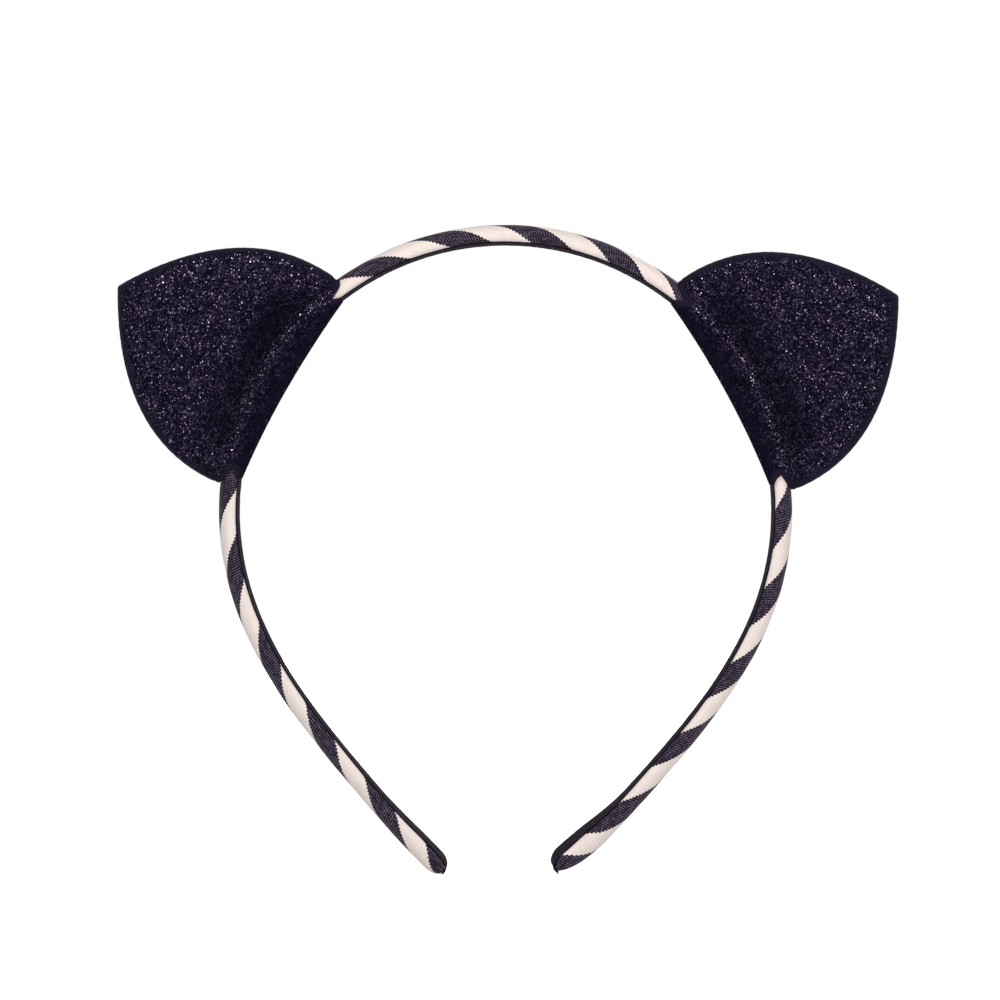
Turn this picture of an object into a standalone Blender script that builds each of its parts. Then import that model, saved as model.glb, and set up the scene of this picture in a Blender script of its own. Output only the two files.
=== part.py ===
"""Cat ears headband: a padded springy band that carries two padded fabric ears.

Metres, +Z up, front towards -Y. The origin is the middle of the lining's inner
face at the crown, where the band rests on the top of the head. "left" and
"right" are as seen from the front, so the left ear is at -X.

Across the band, from the head outwards, lie the lining, an adhesive strip, the
turned-in edges of the ribbon, the springy core, the padding, and the ribbon.
Each ear is one folded piece of fabric: its base wraps the band, and its two
halves meet over the band, hold a foam sheet and are seamed round the edge.
"""

import math

import bmesh
import bpy

# The band's mid line, seen from the front: a round crown, then a curve that
# straightens steadily, then a tip that bends in a little and ends straight.
BAND_THICKNESS = 0.0044
BAND_WIDTH = 0.0090
MID_RADIUS = 0.0635
ROUND_ANGLE = math.radians(105.7)
EASE_LENGTH = 0.056
TIP_BEND = math.radians(7.0)
TIP_BEND_LENGTH = 0.014
STRAIGHT_LENGTH = 0.0120
STATION_STEP = 0.0075

GAP = 0.0003
LINING_THICKNESS = 0.0006
LINING_WIDTH = 0.0076
ADHESIVE_THICKNESS = 0.00035
ADHESIVE_WIDTH = 0.0024
RIBBON_THICKNESS = 0.00035
RIBBON_SLIT = 0.0034
CORE_THICKNESS = 0.0009
CORE_WIDTH = 0.0054
CORE_CHAMFER = 0.0004
CORE_TRIM = 0.0050
PADDING_TRIM = 0.0042
ADHESIVE_TRIM = 0.0030
RIBBON_TRIM = 0.0003
TIP_ROUNDING = 0.0030
TIP_SCALE = 0.42

# The ears, in their own frame: x along the base, y away from the head, z to the front.
EAR_ANGLE = math.radians(29.5)
EAR_BASE_RADIUS = 0.06042
EAR_SIDE = ((0.02755, 0.0), (0.0295, 0.0144), (0.0227, 0.0301), (0.0, 0.0425))
EAR_TIP_SHARE = 0.985
FABRIC_THICKNESS = 0.0005
FOLD_HALF_WIDTH = 0.0238
FOLD_DEPTH_MIDDLE = 0.0026
FOLD_DEPTH_END = 0.0045
FOLD_CORNER = 0.0006
WRAP_TOP = 0.0076
WRAP_HALF_DEPTH = 0.00515
PINCH_HALF_DEPTH = 0.0012
DRAPE_REACH_MIDDLE = 0.0053
DRAPE_REACH_END = 0.0039
DRAPE_POWER = 2.2
HINGE_HEIGHT = 0.0081
PANEL_START = 0.0086
PANEL_HALF_DEPTH = 0.00195
PANEL_EDGE_HALF_DEPTH = 0.00065
PANEL_ROLL = 0.0040
PANEL_INSET = 0.0012
SEAM_RADIUS = 0.00045
FOAM_INSET = 0.0036
FOAM_START = 0.0122
FOAM_THICKNESS = 0.0024
GLUE_HALF_LENGTH = 0.020
GLUE_TOP = 0.0072
GLUE_THICKNESS = 0.0012

# Heights across the band, measured outward from its mid line.
INNER_FACE = -BAND_THICKNESS / 2
RIBBON_INNER = INNER_FACE + LINING_THICKNESS + 0.00025
CORE_INNER = RIBBON_INNER + RIBBON_THICKNESS + GAP
WIDEST = INNER_FACE + 0.0013
INNER_RADIUS = MID_RADIUS + INNER_FACE
HALF_LENGTH = MID_RADIUS * ROUND_ANGLE + EASE_LENGTH + TIP_BEND_LENGTH + STRAIGHT_LENGTH
# The middle facet of the inner face lies exactly at height 0.
CENTRE_HEIGHT = -INNER_RADIUS * math.cos(STATION_STEP / 2 / MID_RADIUS)


def clear_scene():
    for old in list(bpy.data.objects):
        bpy.data.objects.remove(old)


def new_collection(name, in_render=True):
    collection = bpy.data.collections.new(name)
    collection.hide_render = not in_render
    bpy.context.scene.collection.children.link(collection)
    return collection


def new_material(name, colour, roughness, metallic=0.0):
    material = bpy.data.materials.new(name)
    material.use_nodes = True
    shader = material.node_tree.nodes["Principled BSDF"]
    shader.inputs["Base Color"].default_value = (*colour, 1.0)
    shader.inputs["Roughness"].default_value = roughness
    shader.inputs["Metallic"].default_value = metallic
    return material


def new_object(name, data, collection, material=None):
    obj = bpy.data.objects.new(name, data)
    collection.objects.link(obj)
    if material is not None:
        data.materials.append(material)
    return obj


def poly_curve(name, points, closed, dimensions="2D"):
    """A curve through the points, which are (x, y) pairs, with straight pieces between them."""
    curve = bpy.data.curves.new(name, "CURVE")
    curve.dimensions = dimensions
    spline = curve.splines.new("POLY")
    spline.points.add(len(points) - 1)
    for spot, (x, y) in zip(spline.points, points):
        spot.co = (x, y, 0.0, 1.0)
    spline.use_cyclic_u = closed
    return curve


# ---------------------------------------------------------------- the band


def band_heading(along):
    """How far the mid line has turned from the crown at this length along it."""
    turned = min(along, MID_RADIUS * ROUND_ANGLE) / MID_RADIUS
    eased = min(max(along - MID_RADIUS * ROUND_ANGLE, 0.0), EASE_LENGTH)
    bent = min(max(along - MID_RADIUS * ROUND_ANGLE - EASE_LENGTH, 0.0), TIP_BEND_LENGTH)
    turned += (eased - eased**2 / (2 * EASE_LENGTH)) / MID_RADIUS
    return turned + TIP_BEND * bent / TIP_BEND_LENGTH


def band_point(along, outward, steps=400):
    """The (x, z) point at a length from the crown, on the +X side, and a height off the mid line."""
    x, z = 0.0, MID_RADIUS + CENTRE_HEIGHT
    step = along / steps
    for index in range(steps):
        heading = band_heading((index + 0.5) * step)
        x += math.cos(heading) * step
        z -= math.sin(heading) * step
    heading = band_heading(along)
    return x + math.sin(heading) * outward, z + math.cos(heading) * outward


def station_lengths(trim, rounding):
    """Lengths from the crown at which a piece that stops short of the tip by trim has a section."""
    end = HALF_LENGTH - trim
    count = int((end - rounding) / STATION_STEP)
    lengths = [(index + 0.5) * STATION_STEP for index in range(count)]
    if rounding:
        lengths += [end - rounding * share for share in (1.0, 0.6, 0.3, 0.1)]
    return lengths + [end]


def tip_scale(from_end, rounding):
    """The size of the section near a tip, which rounds the end like a quarter of an ellipse."""
    if from_end >= rounding:
        return 1.0
    inward = 1.0 - from_end / rounding
    return TIP_SCALE + (1.0 - TIP_SCALE) * math.sqrt(1.0 - inward**2)


def along_band(name, section, outward, trim, material, parts, guides, rounding=0.0):
    """A closed section of (outward, front) points, swept along the whole band."""
    half = [(s, tip_scale(HALF_LENGTH - trim - s, rounding)) for s in station_lengths(trim, rounding)]
    right = [(*band_point(length, outward), scale) for length, scale in half]
    left = [(-x, z, scale) for x, z, scale in right]
    line = right[::-1] + left
    profile = new_object(name + "_section", poly_curve(name + "_section", section, True), guides)
    curve = poly_curve(name, [(x, z) for x, z, _ in line], False)
    for spot, (_, _, scale) in zip(curve.splines[0].points, line):
        spot.radius = scale
    curve.bevel_mode = "OBJECT"
    curve.bevel_object = profile
    curve.use_fill_caps = True
    band_piece = new_object(name, curve, parts, material)
    band_piece.rotation_euler.x = math.pi / 2
    return band_piece


def ellipse_arc(half_width, height, base, turn, count):
    """Points over the top of a half ellipse, from the front edge to the back one, or back again."""
    points = []
    for index in range(count + 1):
        angle = math.pi * index / count
        points.append((base + height * math.sin(angle), half_width * math.cos(angle)))
    return points if turn > 0 else points[::-1]


def box_section(low, high, half_width):
    """A flat strip's section, in the order that makes its faces point outwards."""
    return [(low, -half_width), (low, half_width), (high, half_width), (high, -half_width)]


def lining_section():
    half = LINING_WIDTH / 2
    top = INNER_FACE + LINING_THICKNESS
    edge = half - LINING_THICKNESS / 2
    return [(INNER_FACE, -edge), (INNER_FACE, edge), (top - 0.0003, half), (top, edge),
            (top, -edge), (top - 0.0003, -half)]


def core_section():
    half = CORE_WIDTH / 2
    top = CORE_INNER + CORE_THICKNESS
    return [(CORE_INNER, -half), (CORE_INNER, half), (top - CORE_CHAMFER, half),
            (top, half - CORE_CHAMFER), (top, CORE_CHAMFER - half), (top - CORE_CHAMFER, -half)]


def padding_section():
    """Foam over the core's outer side and down both its edges."""
    outer_height = -INNER_FACE - RIBBON_THICKNESS - GAP - WIDEST
    outer_half = BAND_WIDTH / 2 - RIBBON_THICKNESS - GAP
    arc = ellipse_arc(outer_half, outer_height, WIDEST, 1, 10)
    foot = (CORE_INNER, arc[0][1])
    half = CORE_WIDTH / 2 + GAP
    top = CORE_INNER + CORE_THICKNESS + GAP
    inside = [(CORE_INNER, -half), (top - CORE_CHAMFER, -half), (top, CORE_CHAMFER - half),
              (top, half - CORE_CHAMFER), (top - CORE_CHAMFER, half), (CORE_INNER, half)]
    return [foot] + arc[1:-1] + [(foot[0], -foot[1])] + inside


def ribbon_section():
    """The ribbon round the padding, its two edges turned in under the core with a slit between."""
    lift = RIBBON_INNER
    half = BAND_WIDTH / 2
    outer = ellipse_arc(half, -INNER_FACE - WIDEST, WIDEST, 1, 12)
    inner = ellipse_arc(half - RIBBON_THICKNESS, -INNER_FACE - WIDEST - RIBBON_THICKNESS, WIDEST, -1, 12)
    turn = half - 0.0006
    slit = RIBBON_SLIT / 2
    front = [(RIBBON_INNER + RIBBON_THICKNESS, slit), (RIBBON_INNER, slit), (RIBBON_INNER, turn)]
    back = [(height, -depth) for height, depth in front[::-1]]
    points = front + outer + back + inner
    return [(height - lift, depth) for height, depth in points]


def build_band(parts, guides):
    lining = new_material("lining_tape", (0.012, 0.009, 0.014), 0.85)
    adhesive = new_material("clear_adhesive", (0.62, 0.58, 0.48), 0.35)
    ribbon = new_material("striped_ribbon", (0.80, 0.71, 0.64), 0.55)
    spring = new_material("spring_plastic", (0.05, 0.05, 0.055), 0.45)
    foam = new_material("soft_foam", (0.70, 0.70, 0.68), 0.95)
    along_band("inner_lining", lining_section(), 0.0, 0.0, lining, parts, guides)
    strip = box_section(RIBBON_INNER, RIBBON_INNER + ADHESIVE_THICKNESS, ADHESIVE_WIDTH / 2)
    along_band("lining_adhesive", strip, 0.0, ADHESIVE_TRIM, adhesive, parts, guides)
    along_band("ribbon_cover", ribbon_section(), RIBBON_INNER, RIBBON_TRIM, ribbon, parts, guides,
               rounding=TIP_ROUNDING)
    along_band("band_core", core_section(), 0.0, CORE_TRIM, spring, parts, guides)
    along_band("band_padding", padding_section(), 0.0, PADDING_TRIM, foam, parts, guides)


# ---------------------------------------------------------------- the ears


def side_point(share, inset=0.0):
    """(x, y) on the ear's side curve, from its base corner at 0 to its tip at 1, moved inwards by inset."""
    rest = 1.0 - share
    weights = (rest**3, 3 * rest**2 * share, 3 * rest * share**2, share**3)
    slopes = (-3 * rest**2, 3 * rest**2 - 6 * rest * share, 6 * rest * share - 3 * share**2, 3 * share**2)
    x, y = (sum(w * point[axis] for w, point in zip(weights, EAR_SIDE)) for axis in (0, 1))
    dx, dy = (sum(w * point[axis] for w, point in zip(slopes, EAR_SIDE)) for axis in (0, 1))
    length = math.hypot(dx, dy)
    return x - inset * dy / length, y + inset * dx / length


def side_share(height, inset=0.0):
    """Where the side curve, moved inwards by inset, passes this height."""
    low, high = 0.0, 1.0
    for _ in range(40):
        middle = (low + high) / 2
        if side_point(middle, inset)[1] < height:
            low = middle
        else:
            high = middle
    return low


def side_line(start, inset, count):
    """Points up one side of the ear, from this height to its blunt tip."""
    first = side_share(start, inset)
    shares = [first + (EAR_TIP_SHARE - first) * index / count for index in range(count + 1)]
    return [side_point(share, inset) for share in shares]


def fabric_half_width(height):
    """Half the width of the ear's fabric. Below the base line it narrows to the fold."""
    if height >= 0.0:
        return side_point(side_share(height))[0]
    narrowed = min(-height / FOLD_DEPTH_END, 1.0)
    return EAR_SIDE[0][0] - narrowed * (EAR_SIDE[0][0] - FOLD_HALF_WIDTH)


def drape_half_depth(x, y):
    """How far the wrap's fabric stands from the ear's mid plane, over the band and down to the pinch."""
    above = math.hypot(x, EAR_BASE_RADIUS + y) - MID_RADIUS - WIDEST
    towards_end = min((x / EAR_SIDE[0][0]) ** 2, 1.0)
    reach = DRAPE_REACH_MIDDLE - (DRAPE_REACH_MIDDLE - DRAPE_REACH_END) * towards_end
    share = min(max(above / reach, 0.0), 1.0)
    return PINCH_HALF_DEPTH + (WRAP_HALF_DEPTH - PINCH_HALF_DEPTH) * (1.0 - share**DRAPE_POWER)


def wrap_rows(across, count):
    """(x, y, z) down the front of the wrap, under the band and up its back, at one place across it."""
    fold_x = across * FOLD_HALF_WIDTH
    fold = -FOLD_DEPTH_MIDDLE - (FOLD_DEPTH_END - FOLD_DEPTH_MIDDLE) * across**2
    front = []
    for index in range(count + 1):
        y = WRAP_TOP + (fold + FOLD_CORNER - WRAP_TOP) * index / count
        x = across * fabric_half_width(y)
        front.append((x, y, drape_half_depth(x, y)))
    front.append((fold_x, fold, WRAP_HALF_DEPTH - FOLD_CORNER))
    back = [(x, y, -z) for x, y, z in reversed(front)]
    return front + [(fold_x, fold, 0.0)] + back


def panel_half_depth(x, y, half_width):
    """Half the ear's thickness: full over the foam, thin at the side seam and at the pinch."""

    def risen(distance):
        inward = 1.0 - min(max(distance / PANEL_ROLL, 0.0), 1.0)
        return math.sqrt(1.0 - inward**2)

    full = PANEL_HALF_DEPTH
    at_side = PANEL_EDGE_HALF_DEPTH + (full - PANEL_EDGE_HALF_DEPTH) * risen(0.85 * (half_width - abs(x)))
    at_base = PINCH_HALF_DEPTH + (full - PINCH_HALF_DEPTH) * risen(y - PANEL_START)
    return min(at_side, at_base)


def sheet_object(name, rows, material, parts):
    """An open grid of points as a sheet of fabric with its real thickness."""
    mesh = bpy.data.meshes.new(name)
    grid = bmesh.new()
    points = [[grid.verts.new(point) for point in row] for row in rows]
    for row, following in zip(points, points[1:]):
        for index in range(len(row) - 1):
            grid.faces.new((row[index], row[index + 1], following[index + 1], following[index]))
    bmesh.ops.recalc_face_normals(grid, faces=grid.faces)
    for face in grid.faces:
        face.smooth = True
    grid.to_mesh(mesh)
    grid.free()
    sheet = new_object(name, mesh, parts, material)
    solidify = sheet.modifiers.new("thickness", "SOLIDIFY")
    solidify.thickness = FABRIC_THICKNESS
    solidify.offset = 0.0
    solidify.use_even_offset = True
    return sheet


def wrap_object(name, material, parts):
    columns = [-1.0, -0.9, -0.75, -0.6, -0.4, -0.2, 0.0, 0.2, 0.4, 0.6, 0.75, 0.9, 1.0]
    return sheet_object(name, [wrap_rows(across, 8) for across in columns], material, parts)


def panel_object(name, facing, material, parts):
    """One face of the padded ear. Facing is 1 for the front and -1 for the back."""
    across = (-1.0, -0.94, -0.85, -0.7, -0.45, -0.2, 0.0, 0.2, 0.45, 0.7, 0.85, 0.94, 1.0)
    rows = []
    for half_width, y in side_line(PANEL_START, PANEL_INSET, 14):
        xs = [share * half_width for share in across]
        rows.append([(x, y - HINGE_HEIGHT, facing * panel_half_depth(x, y, half_width)) for x in xs])
    return sheet_object(name, rows, material, parts)


def flat_object(name, outline, thickness, material, parts):
    """A flat outline in the ear's mid plane, given its thickness."""
    curve = poly_curve(name, outline, True)
    curve.fill_mode = "BOTH"
    curve.extrude = thickness / 2
    return new_object(name, curve, parts, material)


def foam_object(name, material, parts):
    side = side_line(FOAM_START, FOAM_INSET, 10)
    side = [(x, y - HINGE_HEIGHT) for x, y in side if x > 0.0]
    outline = side + [(-x, y) for x, y in reversed(side)]
    return flat_object(name, outline, FOAM_THICKNESS, material, parts)


def glue_object(name, material, parts):
    """The glue between the band's outer side and the pinch, which follows the band below."""
    clear_radius = MID_RADIUS + BAND_THICKNESS / 2 + GAP + 0.00005
    outline = [(GLUE_HALF_LENGTH, GLUE_TOP), (-GLUE_HALF_LENGTH, GLUE_TOP)]
    for index in range(9):
        x = GLUE_HALF_LENGTH * (index / 4 - 1)
        outline.append((x, math.sqrt(clear_radius**2 - x**2) - EAR_BASE_RADIUS))
    return flat_object(name, outline, GLUE_THICKNESS, material, parts)


def seam_object(name, material, parts):
    """The sewn seam round the ear's edge, as one round cord from base to tip and back down."""
    right = side_line(PANEL_START, SEAM_RADIUS, 14)
    line = right + [(-x, y) for x, y in reversed(right)]
    curve = poly_curve(name, [(x, y - HINGE_HEIGHT) for x, y in line], False, "3D")
    curve.bevel_depth = SEAM_RADIUS
    curve.bevel_resolution = 1
    curve.use_fill_caps = True
    return new_object(name, curve, parts, material)


def place_on_band(obj, side, height):
    """Stands an ear piece on the band, its own origin at this height over the base line."""
    lean = math.pi / 2 - EAR_ANGLE
    radius = EAR_BASE_RADIUS + height
    obj.rotation_euler = (math.pi / 2, side * lean, 0.0)
    obj.location = (side * radius * math.cos(EAR_ANGLE), 0.0,
                    CENTRE_HEIGHT + radius * math.sin(EAR_ANGLE))


def build_ear(word, side, materials, parts):
    fabric, foam, thread, glue = materials
    place_on_band(wrap_object(word + "_ear_base_wrap", fabric, parts), side, 0.0)
    place_on_band(glue_object(word + "_ear_fixing_glue", glue, parts), side, 0.0)
    hinge = new_object(word + "_ear_hinge", None, parts)
    place_on_band(hinge, side, HINGE_HEIGHT)
    moving = (
        panel_object(word + "_ear_front_panel", 1, fabric, parts),
        panel_object(word + "_ear_back_panel", -1, fabric, parts),
        foam_object(word + "_ear_foam_sheet", foam, parts),
        seam_object(word + "_ear_edge_seam", thread, parts),
    )
    for piece in moving:
        piece.parent = hinge


def build_ears(parts):
    materials = (
        new_material("glitter_fabric", (0.010, 0.008, 0.018), 0.40, 0.3),
        new_material("ear_foam", (0.08, 0.08, 0.09), 0.95),
        new_material("seam_thread", (0.008, 0.007, 0.011), 0.70),
        new_material("hot_melt_glue", (0.55, 0.50, 0.40), 0.40),
    )
    for word, side in (("left", -1), ("right", 1)):
        build_ear(word, side, materials, parts)


def main():
    clear_scene()
    parts = new_collection("cat_ears_headband")
    guides = new_collection("sweep_sections", in_render=False)
    build_band(parts, guides)
    build_ears(parts)
    for guide in guides.objects:
        guide.hide_render = True
        guide.display_type = "WIRE"


main()
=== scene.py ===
"""Looks of the cat ears headband: striped ribbon, matt lining and glitter fabric ears.

Every piece is placed in the CAD frame: x runs across the band, -y is the front and
z is up. Lengths are in metres, and in the material patterns in millimetres.
"""

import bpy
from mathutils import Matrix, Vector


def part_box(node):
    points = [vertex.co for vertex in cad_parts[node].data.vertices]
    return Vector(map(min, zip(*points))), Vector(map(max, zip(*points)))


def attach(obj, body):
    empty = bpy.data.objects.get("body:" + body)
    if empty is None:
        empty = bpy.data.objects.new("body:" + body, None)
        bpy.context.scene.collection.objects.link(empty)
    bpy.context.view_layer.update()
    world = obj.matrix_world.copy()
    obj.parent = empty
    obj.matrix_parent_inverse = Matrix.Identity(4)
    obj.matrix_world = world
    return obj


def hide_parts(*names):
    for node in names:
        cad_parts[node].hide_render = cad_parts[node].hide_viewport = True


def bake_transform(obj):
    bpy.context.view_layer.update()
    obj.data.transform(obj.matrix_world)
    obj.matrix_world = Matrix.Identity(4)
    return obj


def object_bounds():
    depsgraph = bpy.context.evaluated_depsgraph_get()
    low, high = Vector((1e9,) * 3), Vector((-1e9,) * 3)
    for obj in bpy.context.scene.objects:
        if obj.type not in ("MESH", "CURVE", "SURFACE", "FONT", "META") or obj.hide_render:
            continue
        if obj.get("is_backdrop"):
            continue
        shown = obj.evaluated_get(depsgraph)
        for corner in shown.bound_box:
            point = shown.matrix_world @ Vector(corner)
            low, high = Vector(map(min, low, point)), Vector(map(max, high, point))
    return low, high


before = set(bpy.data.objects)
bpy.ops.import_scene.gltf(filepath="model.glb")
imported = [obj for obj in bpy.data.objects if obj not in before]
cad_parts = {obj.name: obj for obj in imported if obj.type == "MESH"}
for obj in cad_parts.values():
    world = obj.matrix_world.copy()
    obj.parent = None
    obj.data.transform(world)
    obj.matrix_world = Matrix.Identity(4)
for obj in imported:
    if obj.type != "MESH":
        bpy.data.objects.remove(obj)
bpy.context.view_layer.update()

import math

import bpy
import numpy as np

SEED = 20
RIPPLE_WAVES = 14
MM = 0.001

# ---------------------------------------------------------------- dimensions

# The band's mid line: a round crown, a curve that straightens steadily, then a tip that
# bends in a little. Where there are two values, -1 is for the side at -X and 1 for the side
# at +X. Worn tips turn about the mid line, so that the lining shows from the front.
MID_RADIUS = 0.0635
ROUND_ANGLE = math.radians(105.7)
EASE_LENGTH = 0.056
TIP_BEND = {-1: math.radians(4.0), 1: math.radians(7.0)}
TIP_BEND_LENGTH = 0.014
STRAIGHT_LENGTH = 0.0120
HALF_LENGTH = MID_RADIUS * ROUND_ANGLE + EASE_LENGTH + TIP_BEND_LENGTH + STRAIGHT_LENGTH
TIP_TWIST = {-1: math.radians(2.5), 1: math.radians(7.0)}
TIP_SWELL = {-1: 0.10, 1: 0.28}
TWIST_LENGTH = 0.030
SWELL_LENGTH = 0.024

# Across the band: heights are measured outward from the mid line.
BAND_THICKNESS = 0.0044
BAND_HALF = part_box("ribbon_cover")[1].y
LINING_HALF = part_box("inner_lining")[1].y
LINING_THICKNESS = 0.00025
RIBBON_THICKNESS = 0.00035
RIBBON_SLIT = 0.0034
ADHESIVE_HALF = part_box("lining_adhesive")[1].y
ADHESIVE_THICKNESS = 0.00035
ADHESIVE_TRIM = 0.0030
LINING_END_RISE = (0.0003, 0.0006)
LINING_NAP = 0.00004
LINING_SWAY = 0.00010
INNER_FACE = -BAND_THICKNESS / 2
RIBBON_INNER = INNER_FACE + 0.00028
CORE_INNER = INNER_FACE + 0.0015
CORE_TOP = CORE_INNER + 0.0012
WIDEST = INNER_FACE + 0.0013
RIBBON_RISE = -INNER_FACE - WIDEST
FOAM_CLEARANCE = 0.00065
FOAM_TRIM = 0.0042
TIP_ROUNDING = 0.0030
TIP_OUTER_ROUNDING = {-1: 0.0036, 1: 0.0095}
TIP_INNER_ROUNDING = 0.0036
TIP_LIFT = 0.0017
TIP_DROP = {-1: 0.0019, 1: 0.0025}
# The CAD band's first sections are this far to each side of the crown, and the flat between
# their inner faces touches z = 0.
FIRST_STATION = 0.00375
CENTRE_Z = -(MID_RADIUS + INNER_FACE) * math.cos(FIRST_STATION / MID_RADIUS)

# The ears, in their own frame: u along the base, v away from the head, depth to the front.
EAR_ANGLE = math.radians(29.5)
EAR_BASE_RADIUS = 0.06042
EAR_SIDE = ((0.02755, 0.0), (0.0295, 0.0144), (0.0227, 0.0301), (0.0, 0.0425))
FOLD_HALF_WIDTH = 0.0240
FOLD_DEPTH_MIDDLE = 0.0026
FOLD_DEPTH_END = 0.0041
# Below the base line, (v, half width) where the base's ends are cut in to the fold's width.
BASE_CUT = ((-FOLD_DEPTH_END, FOLD_HALF_WIDTH), (-0.0022, 0.0231), (-0.0012, 0.0230),
            (-0.0008, 0.0260), (0.0, EAR_SIDE[0][0]))
FOLD_ROUNDING = 0.0006
FOLD_HALF_DEPTH = 0.0050
FABRIC_THICKNESS = 0.00045
FABRIC_INSET = 0.0005
SEAM_RADIUS = 0.00045
SEAM_DEPTH = 0.0004
SEAM_STITCH = 0.0022
SEAM_TAPER = 0.0012
PINCH_RADIUS = 0.0681
PINCH_HALF_WIDTH = 0.0205
PINCH_HALF_DEPTH = 0.0008
PILLOW_HALF_DEPTH = 0.0022
PINCH_REACH = 0.00045
PILLOW_START = 0.0095
PILLOW_UNEVEN = 0.00016
BAND_TO_FABRIC = 0.0006
WRAP_START = 0.0070
EAR_FOAM_START = 0.0124
EAR_FOAM_INSET = 0.0038
EAR_FOAM_HALF_DEPTH = 0.00115
EAR_FOAM_ROUNDING = 0.0012
CROWN_SIDE_DRAWN_IN = {-1: 0.0010, 1: 0.0004}
CROWN_SIDE_SUNK = {-1: 0.0012, 1: 0.0002}
# Painted shade: fewer flakes near the outline, where the rolled edge turns from the light.
SHADED_MARGIN = {-1: 0.0003, 1: 0.0009}
SHADED_MARGIN_UNEVEN = 0.0005
SHADED_MARGIN_FADE = 0.0022
# Painted highlight: more and brighter flakes along the crest, where the fabric faces the lights.
CREST_RADIUS = 0.0645
CREST_REACH = 0.0009
# Painted shade: the glitter is dimmed in the crease above the band and along the fold under it.
CREASE_SHADE_ALL_ALONG = {-1: 0.40, 1: 0.50}
CREASE_SHADE_BY_CROWN = {-1: 0.60, 1: 0.0}
CREASE_SHADE_MIDDLE = 0.008
CREASE_SHADE_SPREAD = 0.010
FOLD_SHADE = 0.6
# Where these start and where they are complete: towards the crown (ALONG), away from the head
# (UP), from the ear's middle (ASIDE), from the circle's centre (REACH), and from an edge.
DRAWN_IN_ALONG = (-0.008, 0.0276)
SUNK_ALONG = (0.015, 0.027)
UNSUNK_UP = (0.002, 0.013)
FREE_OF_FOLD_UP = (-0.0036, -0.0006)
CREASE_SHADE_REACH = (0.0653, 0.0668)
UNSHADED_UP = (0.0085, 0.0135)
UNSHADED_ASIDE = (0.0150, 0.0235)
UNSHADED_REACH = (0.0618, 0.0634)
GLITTER_FROM_FOLD = (0.0006, 0.0022)
THICK_FROM_EDGE = (0.0004, 0.0022)
THICK_UP = (-0.0035, -0.0015)
INSET_UP = (-0.0008, 0.0022)
CLOTH_FREE_FROM_EDGE = (0.0005, 0.0030)
CLOTH_FREE_FROM_PINCH = (0.0004, 0.0030)
FLAKES_PER_EAR = 24000
FLAKE_SIZES = (0.00009, 0.00016)
FLAKE_TILT = math.radians(13.0)
FLAKE_MOST_TILT = 0.5

# The ears' fabric at rest: a sheet relaxed over a grid of this step and size, with this much
# outward curvature from the foam, in 1/m.
RELAX_STEP = 0.0004
RELAX_HALF_WIDTH = 0.0304
RELAX_HEIGHTS = (-0.0048, 0.0436)
RELAX_PASSES = 1800
FOAM_PUSH = 110.0

# The cloth simulation that swells the ears' panels over their foam.
CLOTH_FRAMES = 10
CLOTH_STEPS = 4
CLOTH_MASS = 0.001
CLOTH_PRESSURE = 700.0
CLOTH_CAP = 0.0006

# The ribbon's pattern, in millimetres of ribbon. It was laid on by hand, so the stripes' phase
# is a polynomial of the length from the crown, and it is pulled a little at the tips.
STRIPE_PERIOD = 20.0
STRIPE_MIDDLE = 4.8
STRIPE_SLANT = 1.70
ROW_PITCH = 0.60
ROW_SLANT = 0.30
DASH_PITCH = 0.52
CREAM_HALF_SHARE = 0.247
EDGE_JITTER = 0.008
STRIPE_PHASE = (-0.663, -0.495, 0.992, 10.426, 0.168)
STRIPE_PHASE_SPAN = 200.0
TIP_PULL = {-1: -0.06, 1: 0.24}
TIP_PULL_LENGTH = 14.0

RIBBON_STEP = 0.00045
RIBBON_TRIM = 0.0003
RIBBON_CLOSING = (0.02, 0.35, 0.7)
RIBBON_CLOSING_PUSH = 0.00035
RIBBON_WAVE = 0.00005
RIBBON_WAVE_FROM = (-0.0004, 0.0010)

# The studio: name, place, size in metres, power in watts, and whether gloss reflects it.
LIGHTS = (
    ("key", (-0.38, -0.62, 0.62), 0.5, 2.8, True),
    ("fill", (0.55, -0.65, 0.40), 0.6, 1.65, True),
    ("front", (0.10, -0.85, 0.02), 0.25, 1.75, False),
    ("back", (-0.10, 0.85, 0.02), 0.25, 2.8, False),
    ("back key", (0.38, 0.72, 0.30), 0.5, 1.3, True),
)
WORLD_STRENGTH = 0.42
FLOOR_HALF_SIZE = 3.0
CAMERA_PLACE = (-0.0013, -0.65, -0.0586)
CAMERA_ROLL = math.radians(-0.7)
CAMERA_LENS = 102.0


# ---------------------------------------------------------------- mesh helpers


def grid_faces(rows, columns, closed=False):
    """The four corners of every face of a grid, whose columns close into rings if asked."""
    row, column = np.meshgrid(np.arange(rows - 1), np.arange(columns - (not closed)), indexing="ij")
    after = (column + 1) % columns
    corners = (row * columns + column, (row + 1) * columns + column,
               (row + 1) * columns + after, row * columns + after)
    return np.stack(corners, axis=-1).reshape(-1, 4)


def tube_faces(rows, columns, flipped=False):
    """The faces of a tube of rings with both its ends filled."""
    last = (rows - 1) * columns
    faces = grid_faces(rows, columns, closed=True).tolist()
    faces.append([columns - 1 - index for index in range(columns)])
    faces.append([last + index for index in range(columns)])
    return [face[::-1] for face in faces] if flipped else faces


def add_object(name, data):
    """A new object in the scene."""
    made = bpy.data.objects.new(name, data)
    bpy.context.scene.collection.objects.link(made)
    return made


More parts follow.
